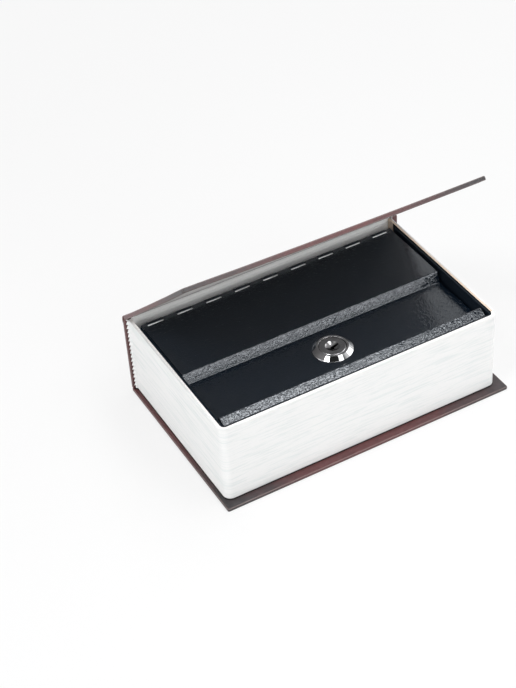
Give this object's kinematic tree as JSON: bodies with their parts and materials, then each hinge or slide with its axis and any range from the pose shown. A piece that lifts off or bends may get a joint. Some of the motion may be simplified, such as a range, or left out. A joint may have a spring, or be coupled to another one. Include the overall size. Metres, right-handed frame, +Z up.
{
  "type": "book diversion safe",
  "caption": "Hollow hardback book with a hinged front cover over a black steel cash box whose pressed lid has a piano hinge and a cam lock.",
  "frame": {"origin": "middle of the back cover's underside, where the book rests", "axes": "+X along the book's length, +Y towards the spine, +Z up through the page block"},
  "size_m": [0.18, 0.116, 0.1296],
  "materials": {
    "grey_board": "raw beige board",
    "cover_wrap": "satin printed paper, brown with a reddish middle and grey corners",
    "lining_paper": "matt white lining paper",
    "page_paper": "matt white paper embossed with page edges",
    "foam_tape": "matt foam",
    "black_paint": "textured black powder coat",
    "steel_wire": "drawn wire",
    "chrome_plate": "polished chrome",
    "zinc_plate": "zinc plated",
    "brass_plate": "plain brass"
  },
  "bodies": {
    "root": {"back_board": "grey_board", "back_cover_wrap": "cover_wrap", "base_lining": "lining_paper", "spine_board": "grey_board", "spine_wrap": "cover_wrap", "spine_lining": "lining_paper", "page_board_front": "grey_board", "page_board_left": "grey_board", "page_board_right": "grey_board", "page_paper": "page_paper", "mounting_tape_front": "foam_tape", "mounting_tape_back": "foam_tape", "box_body": "black_paint", "strike_plate": "black_paint", "hinge_leaf": "black_paint", "hinge_pin": "steel_wire"},
    "cover_joint": {"joint_cloth": "cover_wrap"},
    "front_cover": {"front_board": "grey_board", "front_cover_wrap": "cover_wrap", "front_pastedown": "lining_paper"},
    "lid": {"box_lid": "black_paint", "lock_housing": "chrome_plate", "lock_washer": "zinc_plate", "lock_nut": "zinc_plate"},
    "lock_plug": {"lock_plug": "chrome_plate", "lock_wafer_1": "brass_plate", "lock_wafer_2": "brass_plate", "lock_wafer_3": "brass_plate", "lock_wafer_4": "brass_plate", "lock_wafer_5": "brass_plate", "lock_cam": "zinc_plate", "cam_screw": "zinc_plate"}
  },
  "joints": [
    {"name": "lid_hinge", "type": "hinge", "parent": "root", "child": "lid", "pos_m": [-0.0012, 0.0489, 0.0491], "axis": [-1, 0, 0], "range_deg": [0, 100]},
    {"name": "cover_crease_open", "type": "hinge", "parent": "root", "child": "cover_joint", "pos_m": [0, 0.0579, 0.0533], "axis": [-1, 0, 0], "range_deg": [0, 150]},
    {"name": "cover_crease_close", "type": "hinge", "parent": "cover_joint", "child": "front_cover", "pos_m": [0, 0.05635, 0.05437], "axis": [-1, 0, 0], "range_deg": [-40.6, 0]},
    {"name": "lock_turn", "type": "hinge", "parent": "lid", "child": "lock_plug", "pos_m": [-0.0012, -0.0202, 0.045], "axis": [0, 0, -1], "range_deg": [0, 90]}
  ],
  "couplings": [
    {"joint": "lid_hinge", "follows": "cover_crease_open", "ratio": 0.6666}
  ]
}
